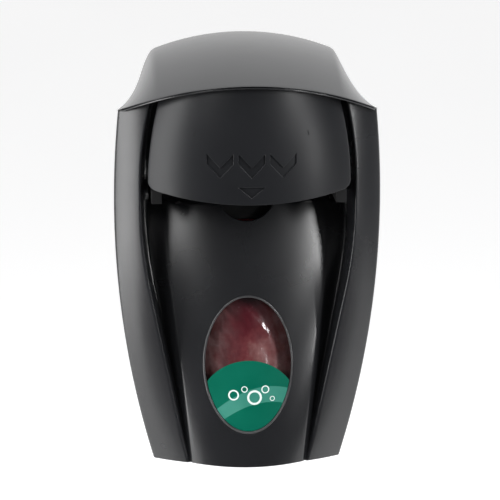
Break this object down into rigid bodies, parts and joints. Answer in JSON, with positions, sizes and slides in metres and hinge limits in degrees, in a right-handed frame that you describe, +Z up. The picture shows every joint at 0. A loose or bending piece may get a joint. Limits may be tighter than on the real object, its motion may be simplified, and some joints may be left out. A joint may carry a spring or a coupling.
{
  "type": "wall mounted soap dispenser",
  "caption": "Wall mounted push dispenser for foam soap: domed hood, curved side rails, swinging push panel, oval refill window, and a hinged cover over a pouch with an inverted pump.",
  "frame": {"origin": "on the wall, at the centre of the four wall screws, which is half way up the case", "axes": "+Z up, +Y into the wall, -Y out to the user, +X to the user's right"},
  "size_m": [0.1594, 0.116, 0.254],
  "materials": {
    "shell_black": "satin moulded ABS",
    "inner_black": "matt moulded plastic",
    "bezel_grey": "smooth moulded rim",
    "clear_lens": "clear polycarbonate",
    "label_green": "printed film",
    "pouch_soap": "clear film over red-pink liquid soap",
    "pump_white": "natural polypropylene",
    "steel": "zinc plated steel",
    "rubber_black": "matt",
    "silicone": "translucent silicone",
    "tape_grey": "closed cell foam tape",
    "mesh": "woven nylon mesh"
  },
  "bodies": {
    "root": {"wall_plate": "shell_black", "mounting_tape": "tape_grey", "cradle": "inner_black", "cradle_screws": "steel", "hinge_pins": "steel", "refill_bag": "pouch_soap", "bag_fitment": "pump_white", "pump_barrel": "pump_white", "pump_collar": "pump_white", "inlet_valve": "silicone", "pump_spring": "steel"},
    "cover": {"front_cover": "shell_black", "top_hood": "shell_black", "hood_screws": "steel", "window_lens": "clear_lens", "window_bezel": "bezel_grey", "window_label": "label_green", "pivot_pins": "steel"},
    "push_lever": {"push_panel": "shell_black", "push_frame": "inner_black", "panel_screws": "steel"},
    "pump_drive": {"yoke": "inner_black", "pump_piston": "pump_white", "piston_seal": "rubber_black", "screen_cartridge": "pump_white", "foam_screens": "mesh", "nozzle": "pump_white"},
    "release_left": {"release_button_left": "inner_black"},
    "release_right": {"release_button_right": "inner_black"}
  },
  "joints": [
    {"name": "cover_hinge", "type": "hinge", "parent": "root", "child": "cover", "pos_m": [0, -0.012, -0.12], "axis": [1, 0, 0], "range_deg": [0, 90]},
    {"name": "push_hinge", "type": "hinge", "parent": "cover", "child": "push_lever", "pos_m": [0, -0.08425, 0.0885], "axis": [1, 0, 0], "range_deg": [0, 8], "stiffness_Nm_per_rad": 0.6, "springref_deg": -14.32},
    {"name": "pump_slide", "type": "slide", "parent": "root", "child": "pump_drive", "axis": [0, 0, 1], "range_m": [0, 0.0093], "stiffness_N_per_m": 300, "springref_m": -0.012, "deforming": ["pump_spring"]},
    {"name": "release_left_slide", "type": "slide", "parent": "root", "child": "release_left", "axis": [1, 0, 0], "range_m": [0, 0.003], "stiffness_N_per_m": 300, "springref_m": -0.003},
    {"name": "release_right_slide", "type": "slide", "parent": "root", "child": "release_right", "axis": [-1, 0, 0], "range_m": [0, 0.003], "stiffness_N_per_m": 300, "springref_m": -0.003}
  ],
  "couplings": [
    {"joint": "pump_slide", "follows": "push_hinge", "m_per_rad": 0.05918}
  ]
}
